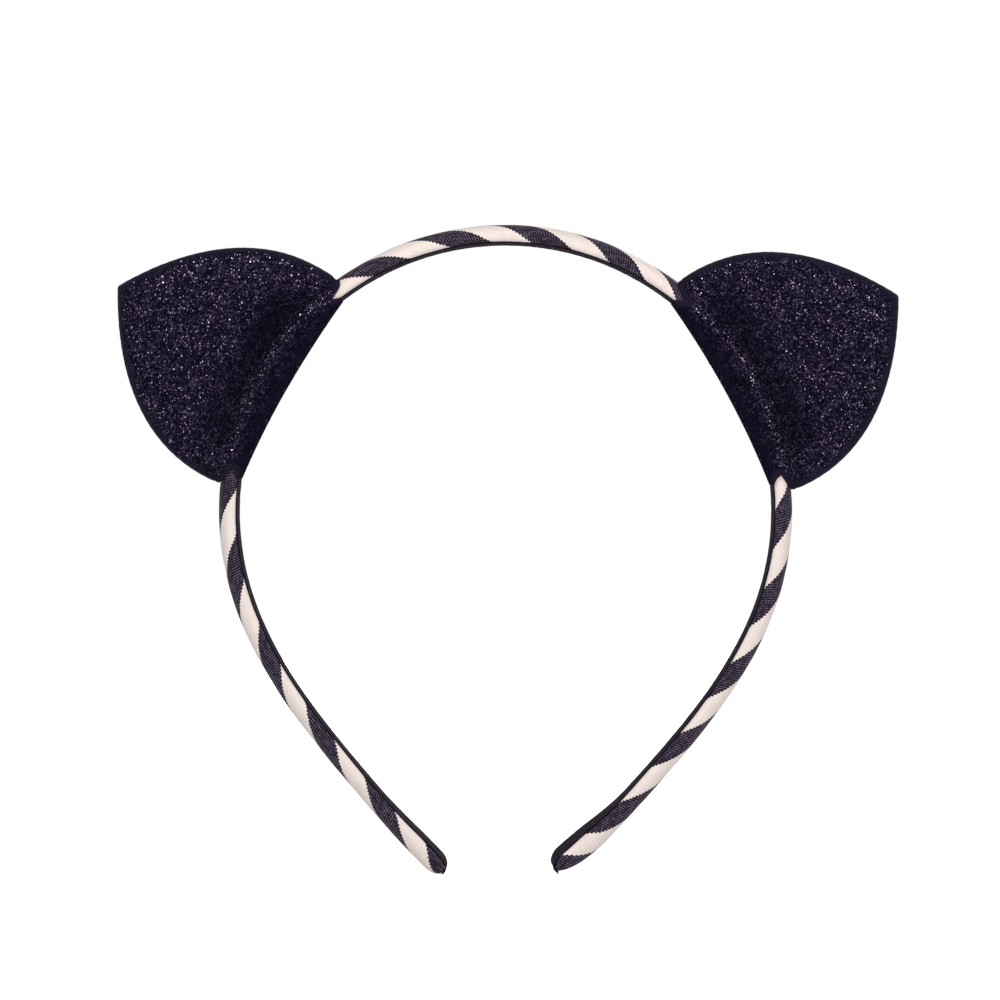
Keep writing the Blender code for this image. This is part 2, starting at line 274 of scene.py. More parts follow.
def new_piece(name, points, faces, material, values=None):
    """A smooth mesh piece, with one number or vector for each point under each name in values."""
    mesh = bpy.data.meshes.new(name)
    mesh.from_pydata(np.asarray(points).reshape(-1, 3).tolist(), [], [list(face) for face in faces])
    for key, data in (values or {}).items():
        data = np.asarray(data, dtype=np.float32)
        kind, field = ("FLOAT", "value") if data.size == len(mesh.vertices) else ("FLOAT_VECTOR", "vector")
        mesh.attributes.new(key, kind, "POINT").data.foreach_set(field, data.ravel())
    mesh.shade_smooth()
    mesh.materials.append(material)
    return add_object(name, mesh)


def apply_modifiers(piece):
    """Makes what the modifiers do part of the mesh."""
    depsgraph = bpy.context.evaluated_depsgraph_get()
    mesh = bpy.data.meshes.new_from_object(piece.evaluated_get(depsgraph))
    piece.modifiers.clear()
    piece.data = mesh


def weighted(piece, name, weights):
    """Gives the piece a vertex group with these weights, and says its name."""
    group = piece.vertex_groups.new(name=name)
    for index, weight in enumerate(np.ravel(weights)):
        group.add([index], float(weight), "REPLACE")
    return group.name


def thicken(piece, thickness, thin=None):
    """Gives an open sheet its thickness, inwards, and less of it where thin is below 1."""
    solidify = piece.modifiers.new("thickness", "SOLIDIFY")
    solidify.thickness = thickness
    solidify.offset = -1.0
    solidify.use_even_offset = False
    if thin is not None:
        solidify.vertex_group = weighted(piece, "thickness", thin)
    apply_modifiers(piece)
    piece.vertex_groups.clear()


def ramp(value, low, high):
    """0 below low, 1 above high, and smooth in between."""
    share = np.clip((value - low) / (high - low), 0.0, 1.0)
    return share * share * (3.0 - 2.0 * share)


def quarter_round(value):
    """Rises from 0 at 0 to 1 at 1 like a quarter of a circle."""
    inward = 1.0 - np.clip(value, 0.0, 1.0)
    return np.sqrt(1.0 - inward**2)


def ring_angles(count):
    """So many even angles round a ring."""
    return np.linspace(0.0, 2.0 * math.pi, count + 1)[:-1]


def neighbour_mean(grid):
    """The mean of each cell's four neighbours."""
    wide = np.pad(grid, 1, mode="edge")
    return (wide[2:, 1:-1] + wide[:-2, 1:-1] + wide[1:-1, 2:] + wide[1:-1, :-2]) / 4.0


def ripples(x, y, wavelength, seed):
    """Smooth random hills of about one wavelength, mostly between -1 and 1."""
    chance = np.random.default_rng(seed)
    total = np.zeros(np.broadcast(x, y).shape)
    for _ in range(RIPPLE_WAVES):
        angle, shift = chance.uniform(0.0, 2.0 * math.pi, 2)
        turn = 2.0 * math.pi / (wavelength * chance.uniform(0.7, 1.5))
        total += np.sin((x * math.cos(angle) + y * math.sin(angle)) * turn + shift)
    return total / math.sqrt(RIPPLE_WAVES / 2.0) / 2.0


# ---------------------------------------------------------------- the band's shape


def band_heading(length, tip_bend):
    """How far the mid line has turned from the crown at this length along it."""
    turned = np.minimum(length, MID_RADIUS * ROUND_ANGLE) / MID_RADIUS
    eased = np.clip(length - MID_RADIUS * ROUND_ANGLE, 0.0, EASE_LENGTH)
    bent = np.clip(length - MID_RADIUS * ROUND_ANGLE - EASE_LENGTH, 0.0, TIP_BEND_LENGTH)
    turned = turned + (eased - eased**2 / (2.0 * EASE_LENGTH)) / MID_RADIUS
    return turned + tip_bend * bent / TIP_BEND_LENGTH


def by_side(pair, along):
    """The one of two values that holds on each length's own side."""
    return np.where(along < 0.0, pair[-1], pair[1])


def band_twist(along):
    """How far the section has turned about the mid line, which it does near the tips only."""
    near_tip = ramp(np.abs(along), HALF_LENGTH - TWIST_LENGTH, HALF_LENGTH - TIP_ROUNDING)
    return by_side(TIP_TWIST, along) * near_tip


def band_line(along):
    """x, z and heading on the mid line at lengths from the crown, which are negative at -X."""
    step = 0.0001
    knots = np.arange(int(HALF_LENGTH / step) + 20) * step
    size = np.abs(along)
    found = np.empty((3,) + size.shape)
    for side, tip_bend in TIP_BEND.items():
        heading = band_heading(knots[:-1] + step / 2.0, tip_bend)
        xs = np.concatenate(([0.0], np.cumsum(np.cos(heading) * step)))
        falls = np.concatenate(([0.0], np.cumsum(np.sin(heading) * step)))
        here = (along < 0.0) == (side < 0)
        found[0, here] = side * np.interp(size[here], knots, xs)
        found[1, here] = CENTRE_Z + MID_RADIUS - np.interp(size[here], knots, falls)
        found[2, here] = side * band_heading(size[here], tip_bend)
    return found


def band_swell(along):
    """How much thicker the band is than its usual section, which it is near the tips only."""
    near_tip = ramp(np.abs(along), HALF_LENGTH - SWELL_LENGTH, HALF_LENGTH - SWELL_LENGTH / 3)
    return by_side(TIP_SWELL, along) * near_tip


def swept(along, outward, front, ahead=0.0):
    """Points of a section at every length: a height off the mid line, a depth, a push along the band."""
    x, z, turn = band_line(along)
    twist = band_twist(along)
    outward = outward * (1.0 + band_swell(along))
    outward, front = (outward * np.cos(twist) + front * np.sin(twist),
                      front * np.cos(twist) - outward * np.sin(twist))
    points = np.empty(np.broadcast(x, outward, front).shape + (3,))
    points[..., 0] = x + np.sin(turn) * outward + np.cos(turn) * ahead
    points[..., 1] = -front
    points[..., 2] = z + np.cos(turn) * outward - np.sin(turn) * ahead
    return points


def stations(trim, step):
    """A column of lengths along the whole band from tip to tip, closer together near the tips."""
    end = HALF_LENGTH - trim
    near_tip = end - TIP_ROUNDING * (1.0 - np.cos(np.linspace(0.0, math.pi / 2, 13)))[::-1]
    inner = end - TIP_ROUNDING
    count = int(2.0 * inner / step)
    middle = np.linspace(-inner, inner, count)[1:-1]
    return np.concatenate((-near_tip[::-1], middle, near_tip))[:, None]


def half_ribbon_section():
    """(outward, front) from the outermost line over the front and round to the edge of the slit."""
    over = np.linspace(0.0, math.pi / 2, 19)
    top = [(WIDEST + RIBBON_RISE * math.cos(a), BAND_HALF * math.sin(a)) for a in over]
    corner_width = 0.0008
    corner_height = WIDEST - RIBBON_INNER
    round_under = np.linspace(0.0, math.pi / 2, 5)[1:]
    corner = [(WIDEST - corner_height * math.sin(a), BAND_HALF - corner_width * (1.0 - math.cos(a)))
              for a in round_under]
    flat = [(RIBBON_INNER, front)
            for front in np.linspace(BAND_HALF - corner_width, RIBBON_SLIT / 2, 6)[1:]]
    return np.array(top + corner + flat)


def stripe_phase(along, across):
    """The stripes' phase at a place on the ribbon, given in millimetres. A whole turn is a period."""
    near_tip = ramp(np.abs(along), HALF_LENGTH / MM - TIP_PULL_LENGTH, HALF_LENGTH / MM)
    phase = np.polyval(STRIPE_PHASE, along / STRIPE_PHASE_SPAN) + near_tip * by_side(TIP_PULL, along)
    return phase - STRIPE_SLANT * (across - STRIPE_MIDDLE) / STRIPE_PERIOD


def ribbon_girth():
    """(outward, front, across) round the ribbon's section, from one edge of the slit to the other."""
    half = half_ribbon_section()
    steps = np.hypot(*np.diff(half, axis=0).T)
    reach = np.concatenate(([0.0], np.cumsum(steps)))
    outward = np.concatenate((half[::-1, 0], half[1:, 0]))
    front = np.concatenate((half[::-1, 1], -half[1:, 1]))
    return outward, front, np.concatenate((reach[::-1], -reach[1:]))


def ribbon_lengths():
    """Lengths along the ribbon, and how open its section is there: it closes at both ends."""
    along = stations(RIBBON_TRIM, RIBBON_STEP)
    closing = np.array(RIBBON_CLOSING)[:, None]
    opened = np.concatenate((closing, np.ones(along.shape), closing[::-1]))
    extra = len(closing)
    return np.concatenate((along[:1].repeat(extra, 0), along, along[-1:].repeat(extra, 0))), opened


def ribbon_edges(along):
    """How low, how high and how wide the ribbon reaches at each length: it rounds off at the tips."""
    from_end = HALF_LENGTH - RIBBON_TRIM - np.abs(along)
    rounding = by_side(TIP_OUTER_ROUNDING, along)
    low = RIBBON_INNER + TIP_LIFT * (1.0 - quarter_round(from_end / TIP_INNER_ROUNDING))
    high = -INNER_FACE - by_side(TIP_DROP, along) * (1.0 - quarter_round(from_end / rounding))
    return low, high, 0.80 + 0.20 * quarter_round(from_end / TIP_ROUNDING)


def make_ribbon(material):
    """The ribbon, stretched over the foam, with its edges turned in and its ends closed."""
    outward, front, across = ribbon_girth()
    along, opened = ribbon_lengths()
    low, high, narrow = ribbon_edges(along)
    wave = ripples(along / MM, across / MM, 9.0, SEED) * RIBBON_WAVE
    wave = wave * ramp(RIBBON_RISE + outward, *RIBBON_WAVE_FROM)
    share = (outward - RIBBON_INNER) / (-INNER_FACE - RIBBON_INNER)
    middle = (low + high) / 2.0
    tall = middle + (low + share * (high - low) + wave - middle) * opened
    deep = front * narrow * (1.0 + wave / BAND_HALF) * opened
    push = np.sign(along) * RIBBON_CLOSING_PUSH * (1.0 - opened**2)
    points = swept(along, tall, deep, push)
    s, w = np.broadcast_arrays(along / MM, across / MM)
    values = {"along": s, "across": w, "stripe": stripe_phase(s, w)}
    piece = new_piece("band_ribbon", points, grid_faces(*tall.shape), material, values)
    thicken(piece, RIBBON_THICKNESS)
    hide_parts("ribbon_cover")
    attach(piece, "band")


def lining_path():
    """Columns for the lining: length along the band, push along it, height, and the way it faces.

    It runs along the inner face, turns round each tip and ends half way up the tip's end.
    """
    start = HALF_LENGTH - TIP_INNER_ROUNDING
    body = np.linspace(-start, start, int(2.0 * start / 0.0008))
    turn = np.append(np.linspace(0.0, math.pi / 2, 11)[1:], [math.pi / 2] * len(LINING_END_RISE))
    rise = np.append(np.zeros(10), LINING_END_RISE)
    push = TIP_INNER_ROUNDING * np.sin(turn)
    lift = TIP_LIFT * (1.0 - np.cos(turn)) + rise
    lean = np.arctan2(TIP_LIFT * np.sin(turn), TIP_INNER_ROUNDING * np.cos(turn))
    flat = np.zeros(len(body))
    along = np.concatenate((np.full(len(push), -start), body, np.full(len(push), start)))
    ahead = np.concatenate((-push[::-1], flat, push))
    height = np.concatenate((lift[::-1], flat, lift))
    facing = np.concatenate((-lean[::-1], flat, lean))
    return (column[:, None] for column in (along, ahead, height, facing))


def make_lining(material):
    """A soft tape along the inner face, whose ends turn up round the tips."""
    along, ahead, height, facing = lining_path()
    ring = ring_angles(28) + math.pi / 56
    edge = LINING_HALF - LINING_THICKNESS / 2.0
    across = np.clip(LINING_HALF * 1.35 * np.cos(ring), -edge, edge)
    across = across + np.cos(ring) * LINING_THICKNESS / 2.0
    side = np.sin(ring)
    side = np.sign(side) * np.minimum(np.abs(side) * 2.2, 1.0)
    nap = ripples((along + ahead) / MM, across / MM, 2.4, SEED + 1) * LINING_NAP
    sway = ripples(along / MM, along * 0.0, 23.0, SEED + 2) * LINING_SWAY
    off = side * (LINING_THICKNESS / 2.0 + np.abs(nap))
    outward = INNER_FACE + LINING_THICKNESS / 2.0 + height + off * np.cos(facing)
    front = across * (1.0 - 0.08 * np.abs(np.sin(facing))) + sway
    points = swept(along, outward, front, ahead - off * np.sin(facing))
    s, w = np.broadcast_arrays((along + ahead) / MM, across / MM)
    faces = tube_faces(*outward.shape, flipped=True)
    piece = new_piece("band_lining", points, faces, material, {"along": s, "across": w})
    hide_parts("inner_lining")
    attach(piece, "band")


def make_adhesive(material):
    """The clear strip that holds the lining between the ribbon's edges."""
    along = np.linspace(ADHESIVE_TRIM - HALF_LENGTH, HALF_LENGTH - ADHESIVE_TRIM, 260)[:, None]
    ring = ring_angles(16)
    bulge = ripples(along / MM, ring, 3.0, SEED + 4) * 0.00003
    outward = np.clip(1.6 * np.sin(ring), -1.0, 1.0) * ADHESIVE_THICKNESS / 2.0
    outward = RIBBON_INNER + ADHESIVE_THICKNESS / 2.0 + outward
    front = np.clip(1.3 * np.cos(ring), -1.0, 1.0) * (ADHESIVE_HALF + bulge)
    points = swept(along, outward, front)
    faces = tube_faces(*front.shape, flipped=True)
    piece = new_piece("band_lining_adhesive", points, faces, material)
    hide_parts("lining_adhesive")
    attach(piece, "band")


def make_band_foam(material):
    """Foam over the core's outer side and down both its edges, with rounded ends."""
    half = BAND_HALF - FOAM_CLEARANCE
    rise = RIBBON_RISE - FOAM_CLEARANCE
    turn = np.linspace(0.0, math.pi, 25)
    over = [(WIDEST + rise * math.sin(a), half * math.cos(a)) for a in turn]
    groove = 0.0030
    under = [(CORE_INNER, -half), (CORE_INNER, -groove), (CORE_TOP, -groove + 0.0003),
             (CORE_TOP, groove - 0.0003), (CORE_INNER, groove), (CORE_INNER, half)]
    section = np.array(over[:-1] + under[:-1])
    along = stations(FOAM_TRIM, 0.0016)
    from_end = HALF_LENGTH - FOAM_TRIM - np.abs(along)
    rounded = 0.5 + 0.5 * quarter_round(from_end / TIP_ROUNDING)
    uneven = 1.0 - 0.012 * (1.0 + ripples(along / MM, section[:, 1] / MM, 6.0, SEED + 3))
    outward = CORE_INNER + (section[:, 0] - CORE_INNER) * rounded * uneven
    front = section[:, 1] * rounded * uneven
    points = swept(along, outward, front)
    piece = new_piece("band_foam", points, tube_faces(*outward.shape), material)
    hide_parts("band_padding")
    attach(piece, "band")


# ---------------------------------------------------------------- the ears' shape


def side_curve(inset, count=400):
    """Points on the ear's side, from its base corner to its tip, moved inwards by inset."""
    share = np.linspace(0.0, 1.0, count)[:, None]
    rest = 1.0 - share
    corners = np.array(EAR_SIDE)
    weights = np.hstack((rest**3, 3 * rest**2 * share, 3 * rest * share**2, share**3))
    slopes = np.hstack((-3 * rest**2, 3 * rest**2 - 6 * rest * share,
                        6 * rest * share - 3 * share**2, 3 * share**2))
    points, slope = weights @ corners, slopes @ corners
    slope /= np.linalg.norm(slope, axis=1, keepdims=True)
    moved = points + inset * np.stack((-slope[:, 1], slope[:, 0]), axis=1)
    return moved[moved[:, 0] > 0.00008]


def half_width(v, inset=0.0):
    """Half the ear's width at this height. Below the base line its ends are cut in."""
    side = side_curve(inset)
    above = np.interp(v, side[:, 1], side[:, 0])
    heights, widths = np.array(BASE_CUT).T
    return np.where(v < 0.0, np.interp(v, heights, widths), above)


def fold_height(u):
    """Where the fabric folds under the band, which is lowest at the ends."""
    towards_end = np.clip(np.abs(u) / FOLD_HALF_WIDTH, 0.0, 1.0)
    return -FOLD_DEPTH_MIDDLE - (FOLD_DEPTH_END - FOLD_DEPTH_MIDDLE) * towards_end**2


def band_half_depth(u, v, clearance):
    """How far the band, with this clearance, stands from the mid plane here. 0 is off the band."""
    above = np.hypot(u, EAR_BASE_RADIUS + v) - MID_RADIUS - WIDEST
    round_side = np.sqrt(np.clip(1.0 - (above / (RIBBON_RISE + clearance))**2, 0.0, 1.0))
    depth = (BAND_HALF + clearance) * round_side
    depth = np.where(above < 0.0, BAND_HALF + clearance, depth)
    return np.where(above < RIBBON_INNER - WIDEST, 0.0, depth)


def outline_distance(u, v):
    """How far a place on the ear is from its outline, base edges included."""
    side = side_curve(0.0, 160)
    heights = np.linspace(-FOLD_DEPTH_END, 0.0, 16)
    line = np.vstack((np.stack((half_width(heights), heights), axis=1), side))
    flat_u, flat_v = np.abs(np.ravel(u)), np.ravel(v)
    found = np.full(flat_u.shape, 1.0)
    for x, y in line:
        found = np.minimum(found, np.hypot(flat_u - x, flat_v - y))
    return found.reshape(np.shape(u))


def relaxed_depths(seed):
    """Half the ear's depth over a grid of u and v, as fabric pulled tight over what it holds.

    It rests on the band and the foam, is held at the seam, the pinch and the fold, and the
    foam presses it outwards.
    """
    us = np.arange(-RELAX_HALF_WIDTH, RELAX_HALF_WIDTH + RELAX_STEP / 2, RELAX_STEP)
    vs = np.arange(*RELAX_HEIGHTS, RELAX_STEP)
    u, v = np.meshgrid(us, vs, indexing="ij")
    cap = PILLOW_HALF_DEPTH + PILLOW_UNEVEN * ripples(u / MM, v / MM, 13.0, seed)
    floor = band_half_depth(u, v, BAND_TO_FABRIC)
    foam = (outline_distance(u, v) > EAR_FOAM_INSET) & (v > EAR_FOAM_START)
    floor = np.maximum(floor, np.where(foam, EAR_FOAM_HALF_DEPTH + FABRIC_THICKNESS, 0.0))
    in_pillow = v > PILLOW_START
    push = np.where(in_pillow, FOAM_PUSH, 0.0) * RELAX_STEP**2 / 4.0
    outside = (np.abs(u) >= half_width(v, FABRIC_INSET)) & (v >= 0.0006)
    outside |= v >= side_curve(FABRIC_INSET)[-1, 1]
    below = v <= fold_height(u)
    pinch_height = np.sqrt(PINCH_RADIUS**2 - u**2) - EAR_BASE_RADIUS
    pinched = (np.abs(u) < PINCH_HALF_WIDTH) & (np.abs(v - pinch_height) < PINCH_REACH)
    depth = np.where(in_pillow, cap * 0.8, np.maximum(floor, 0.002))
    for _ in range(RELAX_PASSES):
        depth = neighbour_mean(depth) + push
        depth = np.where(in_pillow, np.minimum(depth, cap), depth)
        depth = np.maximum(depth, floor)
        depth[pinched] = PINCH_HALF_DEPTH
        depth[outside] = SEAM_DEPTH
        depth[below] = FOLD_HALF_DEPTH
    for _ in range(2):
        depth = np.where(outside | below, depth, (depth + neighbour_mean(depth)) / 2.0)
    return us, vs, depth


def looked_up(field, u, v):
    """The field's value between its grid points."""
    us, vs, depth = field
    a = np.clip((u - us[0]) / (us[1] - us[0]), 0, len(us) - 1.001)
    b = np.clip((v - vs[0]) / (vs[1] - vs[0]), 0, len(vs) - 1.001)
    i, j = a.astype(int), b.astype(int)
    a, b = a - i, b - j
    low = depth[i, j] * (1 - b) + depth[i, j + 1] * b
    high = depth[i + 1, j] * (1 - b) + depth[i + 1, j + 1] * b
    return low * (1 - a) + high * a


def ear_axes(side):
    """The ear's base point and its u and v directions. Side is 1 at +X and -1 at -X."""
    along = np.array((math.sin(EAR_ANGLE), 0.0, -side * math.cos(EAR_ANGLE)))
    away = np.array((side * math.cos(EAR_ANGLE), 0.0, math.sin(EAR_ANGLE)))
    base = np.array((0.0, 0.0, CENTRE_Z)) + away * EAR_BASE_RADIUS
    return base, along, away


def lining_height(u):
    """Where the band's inner face passes, in an ear's own frame."""
    return np.sqrt((MID_RADIUS + INNER_FACE)**2 - u**2) - EAR_BASE_RADIUS


def settled(side, u, v):
    """Where a place ends up on an ear sewn by hand.

    The side by the crown is drawn in and sinks, and the fold stays on the lining.
    """
    by_crown = -side * u
    moved = u + side * CROWN_SIDE_DRAWN_IN[side] * ramp(by_crown, *DRAWN_IN_ALONG)
    by_fold = 1.0 - ramp(v, *FREE_OF_FOLD_UP)
    sunk = CROWN_SIDE_SUNK[side] * ramp(by_crown, *SUNK_ALONG) * (1.0 - ramp(v, *UNSUNK_UP))
    lifted = lining_height(moved) - lining_height(u)
    return moved, v - sunk * (1.0 - by_fold) + lifted * by_fold


def in_frame(side, u, v, depth):
    """Points given in an ear's own frame, in the CAD frame."""
    base, along, away = ear_axes(side)
    front = np.array((0.0, -1.0, 0.0))
    return base + u[..., None] * along + v[..., None] * away + depth[..., None] * front


def crease_shade(side, u, v):
    """How much painted shade dims the glitter, from 0 to 1: in the crease and by the fold."""
    reach = np.hypot(u, EAR_BASE_RADIUS + v)
    crease = ramp(reach, *CREASE_SHADE_REACH) * (1.0 - ramp(v, *UNSHADED_UP))
    crease = crease * (1.0 - ramp(np.abs(u), *UNSHADED_ASIDE))
    by_crown = np.exp(-((-side * u - CREASE_SHADE_MIDDLE) / CREASE_SHADE_SPREAD)**2)
    crease = crease * (CREASE_SHADE_ALL_ALONG[side] + CREASE_SHADE_BY_CROWN[side] * by_crown)
    return np.maximum(crease, FOLD_SHADE - FOLD_SHADE * ramp(reach, *UNSHADED_REACH))


def bend_with_ear(piece):
    """Bakes the piece's placement into its mesh."""
    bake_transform(piece)


def half_fabric_rows(shares):
    """(u, v) rows of the fabric's front half, from the tip down to the fold."""
    tip = side_curve(FABRIC_INSET)[-1, 1]
    heights = np.linspace(tip, WRAP_START, 80)
    rows = [(shares * half_width(v, FABRIC_INSET), np.full(shares.shape, v)) for v in heights]
    fold = fold_height(shares * FOLD_HALF_WIDTH) + FOLD_ROUNDING
    for down in np.linspace(0.0, 1.0, 45)[1:]:
        v = WRAP_START * (1.0 - down) + fold * down
        drawn_in = FABRIC_INSET * ramp(v, *INSET_UP)
        wide = half_width(v, 0.0) - drawn_in
        rows.append((shares * wide, v))
    return rows


def ear_fabric_grid(side, seed):
    """u, v and depth of the whole folded fabric, from its front tip to its back tip."""
    even = np.linspace(-1.0, 1.0, 111)
    shares = even * (1.3 - 0.3 * even**2)
    rows = half_fabric_rows(shares)
    faces = []
    for turn, facing in enumerate((1.0, -1.0)):
        field = relaxed_depths(seed + turn)
        held = [band_half_depth(*settled(side, u, v), BAND_TO_FABRIC) for u, v in rows]
        faces.append([(u, v, facing * np.maximum(looked_up(field, u, v), least))
                      for (u, v), least in zip(rows, held)])
    front, back = faces
    fold_u = shares * FOLD_HALF_WIDTH
    fold_v = fold_height(fold_u)
    under = []
    for angle in np.linspace(0.0, math.pi / 2, 5)[1:]:
        depth = FOLD_HALF_DEPTH - FOLD_ROUNDING * (1.0 - math.cos(angle))
        v = fold_v + FOLD_ROUNDING * (1.0 - math.sin(angle))
        under.append((fold_u, v, np.full(fold_u.shape, depth)))
    flat = FOLD_HALF_DEPTH - FOLD_ROUNDING
    for depth in np.linspace(flat, 0.0, 7)[1:]:
        sag = 0.00022 * (1.0 - (depth / flat)**2) * (1.0 - shares**2)
        under.append((fold_u, fold_v + sag, np.full(fold_u.shape, depth)))
    mirrored = [(u, v, -depth) for u, v, depth in under[-2::-1]]
    whole = front + under + mirrored + back[::-1]
    return tuple(np.array([row[axis] for row in whole]) for axis in range(3))


def mesh_points(mesh):
    """Where the mesh's vertices are."""
    places = np.empty(len(mesh.vertices) * 3)
    mesh.vertices.foreach_get("co", places)
    return places.reshape(-1, 3)


def swell_as_cloth(piece, held):
    """A short cloth simulation: pressure swells the piece where it isn't held by its neighbours."""
    before = mesh_points(piece.data)
    cloth = piece.modifiers.new("cloth", "CLOTH")
    cloth.settings.vertex_group_mass = weighted(piece, "held", held)
    cloth.settings.quality = CLOTH_STEPS
    cloth.settings.mass = CLOTH_MASS
    cloth.settings.use_pressure = True
    cloth.settings.uniform_pressure_force = CLOTH_PRESSURE
    cloth.settings.effector_weights.gravity = 0.0
    cloth.collision_settings.use_collision = False
    cloth.point_cache.frame_end = CLOTH_FRAMES
    for moment in range(1, CLOTH_FRAMES + 1):
        bpy.context.scene.frame_set(moment)
    depsgraph = bpy.context.evaluated_depsgraph_get()
    moved = mesh_points(piece.evaluated_get(depsgraph).data) - before
    piece.modifiers.clear()
    piece.vertex_groups.clear()
    bpy.context.scene.frame_set(1)
    size = np.linalg.norm(moved, axis=1, keepdims=True)
    moved = moved * np.minimum(1.0, CLOTH_CAP / np.maximum(size, 1e-9))
    piece.data.vertices.foreach_set("co", (before + moved).ravel())
    piece.data.update()
    return before + moved


def fabric_thinness(u, v, edge):
    """The share of its thickness that the fabric keeps: less at its edges and the fold's ends."""
    at_edge = 0.7 + 0.3 * ramp(edge, *THICK_FROM_EDGE)
    at_fold_end = ramp(np.abs(u), 0.8 * FOLD_HALF_WIDTH, FOLD_HALF_WIDTH)
    at_fold_end = at_fold_end * (1.0 - ramp(v, *THICK_UP))
    return np.where(v > 0.001, at_edge, 1.0 - 0.65 * at_fold_end)


def make_ear_fabric(word, side, grid, material):
    """The folded fabric over foam and band. Gives back where its points ended up."""
    u, v, depth = grid
    points = in_frame(side, *settled(side, u, v), depth)
    layer = np.sign(depth) * 50.0
    cloth = np.stack((u / MM, v / MM, layer + depth / MM), axis=-1)
    rim = outline_distance(u, v)
    at_fold = np.abs(depth) >= FOLD_HALF_DEPTH - FOLD_ROUNDING / 2
    edge = np.where(at_fold, np.minimum(rim, v - fold_height(u)), rim)
    values = {"cloth": cloth, "rim": rim / MM, "edge": edge / MM, "crease_shade": crease_shade(side, u, v)}
    piece = new_piece(word + "_ear_fabric", points, grid_faces(*u.shape), material, values)
    past_pinch = np.hypot(u, EAR_BASE_RADIUS + v) - PINCH_RADIUS
    free = ramp(rim, *CLOTH_FREE_FROM_EDGE) * ramp(past_pinch, *CLOTH_FREE_FROM_PINCH)
    points = swell_as_cloth(piece, 1.0 - free).reshape(points.shape)
    thicken(piece, FABRIC_THICKNESS, fabric_thinness(u, v, edge))
    nodes = [word + "_ear_base_wrap", word + "_ear_front_panel", word + "_ear_back_panel"]
    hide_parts(*nodes)
    bend_with_ear(piece)
    return points


def flake_places(points, weights, count, chance):
    """Random places on a grid's faces, and the faces' own directions."""
    a, b = points[:-1, :-1], points[1:, :-1]
    c, d = points[1:, 1:], points[:-1, 1:]
    normal = np.cross(b - a + c - d, d - a + c - b).reshape(-1, 3)
    size = np.linalg.norm(normal, axis=1)
    odds = size * weights.ravel()
    picked = chance.choice(len(odds), size=count, p=odds / odds.sum())
    x, y = chance.random((2, count, 1))
    corners = [corner.reshape(-1, 3)[picked] for corner in (a, b, c, d)]
    spot = (corners[0] * (1 - x) + corners[1] * x) * (1 - y) + (corners[3] * (1 - x) + corners[2] * x) * y
    return spot, normal[picked] / size[picked][:, None], picked


def on_crest(u, v):
    """How near a place is to the line where the fabric stands out most over the band."""
    reach = np.hypot(u, EAR_BASE_RADIUS + v)
    return np.exp(-((reach - CREST_RADIUS) / CREST_REACH)**2)


def flake_weights(side, u, v, seed):
    """How densely flakes lie: in clumps, fewer by the fold, fewer by the edges as painted shade and more
    on the crest as a painted highlight.
    """
    margin = SHADED_MARGIN[side] + SHADED_MARGIN_UNEVEN * ripples(u / MM, v / MM, 7.0, seed)
    weights = ramp(outline_distance(u, v), margin, margin + SHADED_MARGIN_FADE)
    clumps = 1.0 + 0.35 * ripples(u / MM, v / MM, 5.0, seed + 1)
    weights = weights * np.clip(clumps, 0.3, 2.0)
    off_fold = ramp(v - fold_height(u), *GLITTER_FROM_FOLD)
    # Painted highlight: more flakes on the crest.
    return weights * (0.03 + 0.97 * off_fold) * (1.0 + 0.8 * on_crest(u, v))


def flake_corners(spot, normal, chance):
    """Six corners for each flake, which has its own size, direction and tilt."""
    count = len(spot)
    first = np.cross(normal, chance.normal(size=(count, 3)))
    first /= np.linalg.norm(first, axis=1, keepdims=True)
    tilt = chance.normal(scale=FLAKE_TILT, size=count).clip(-FLAKE_MOST_TILT, FLAKE_MOST_TILT)[:, None]
    second = np.cross(normal, first)
    leaning = second * np.cos(tilt) + normal * np.sin(tilt)
    size = chance.uniform(*FLAKE_SIZES, count)[:, None]
    spot = spot + normal * (0.00004 + np.abs(np.sin(tilt)) * size)
    corners = []
    for turn in range(6):
        angle = turn * math.pi / 3
        corners.append(spot + size * (first * math.cos(angle) + leaning * math.sin(angle)))
    return np.stack(corners, axis=1)


def make_ear_glitter(word, side, grid, points, material, seed):
    """Thousands of small six-sided flakes on the fabric's points, each tilted its own way."""
    chance = np.random.default_rng(seed)
    u, v, _ = grid
    u = (u[:-1, :-1] + u[1:, 1:]) / 2
    v = (v[:-1, :-1] + v[1:, 1:]) / 2
    count = FLAKES_PER_EAR
    spot, normal, picked = flake_places(points, flake_weights(side, u, v, seed), count, chance)
    corners = flake_corners(spot, normal, chance)
    faces = np.arange(count * 6).reshape(-1, 6)
    # Painted highlight: flakes shine more on the crest.
    shine = 1.0 - chance.random(count) * (1.0 - 0.3 * on_crest(u, v).ravel()[picked])
    # Painted shade: flakes are dimmer in the crease and by the fold.
    shine = shine * (1.0 - 0.45 * crease_shade(side, u, v).ravel()[picked])
    values = {"shine": np.repeat(shine, 6), "tone": np.repeat(chance.random(count), 6)}
    piece = new_piece(word + "_ear_glitter", corners, faces, material, values)
    piece.data.shade_flat()
    bend_with_ear(piece)


